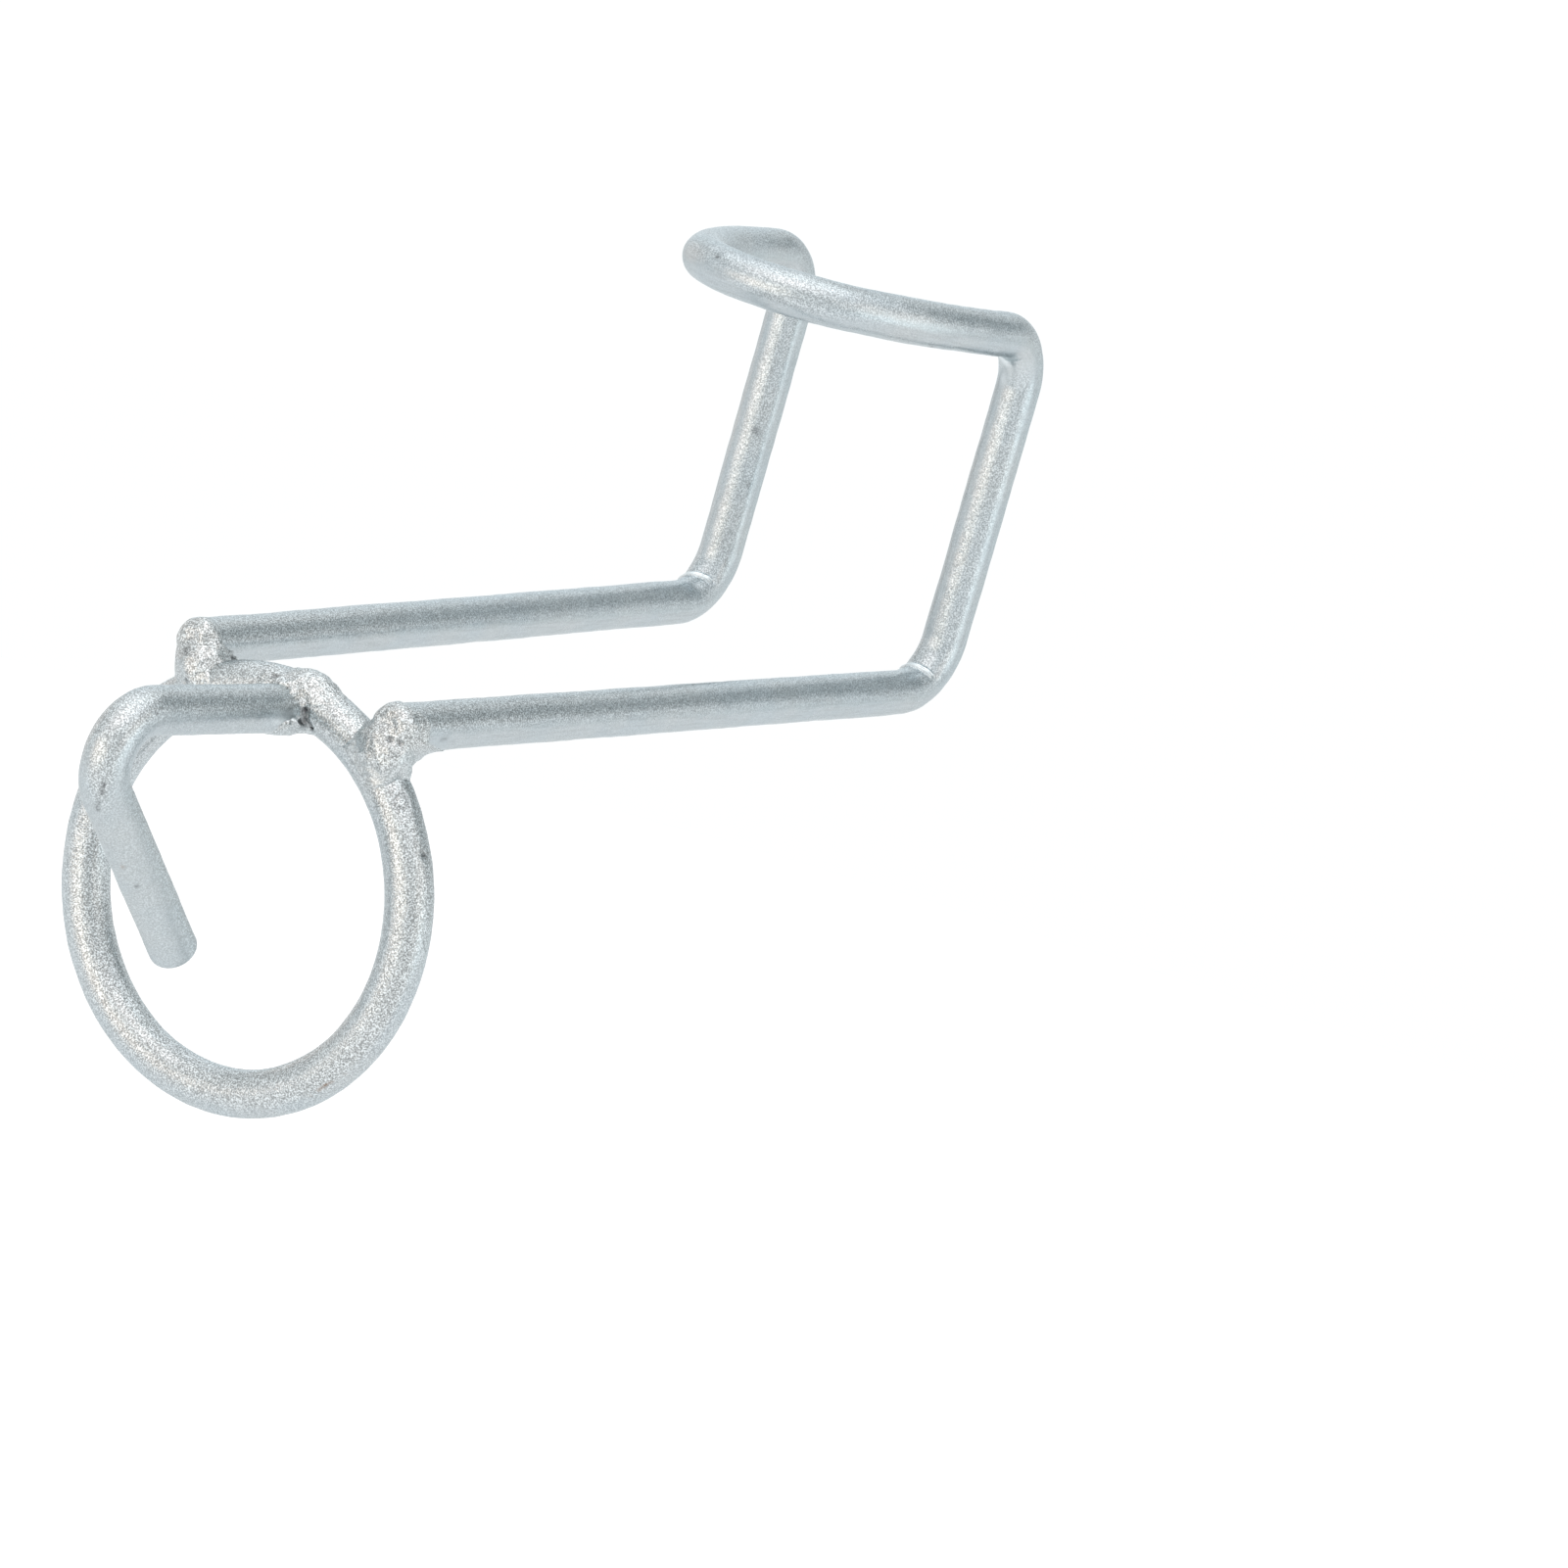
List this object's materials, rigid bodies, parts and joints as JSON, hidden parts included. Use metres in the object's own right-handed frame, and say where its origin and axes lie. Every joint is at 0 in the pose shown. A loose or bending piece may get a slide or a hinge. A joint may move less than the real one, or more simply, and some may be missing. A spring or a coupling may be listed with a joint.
{
  "type": "bucket hook",
  "caption": "Welded round-rod bucket hook that hangs over a bucket's lip, with a ring for a tool handle and a small open hook below it.",
  "frame": {"origin": "middle of the lip seat: half way up the two legs, on the side of them that bears on the bucket's lip", "axes": "+Y from the ring along the arms to the legs, +Z from the arms up the legs to the return, +X across the legs; as it hangs, -Y points down"},
  "size_m": [0.0732, 0.1997, 0.1468],
  "materials": {
    "zinc_rod": "satin, bright zinc plate with a fine grain",
    "zinc_weld": "satin, zinc plate over weld metal"
  },
  "bodies": {
    "root": {"hanger_frame": "zinc_rod", "eye_ring": "zinc_rod", "front_hook": "zinc_rod", "weld_left": "zinc_weld", "weld_right": "zinc_weld", "weld_hook": "zinc_weld"}
  },
  "joints": []
}
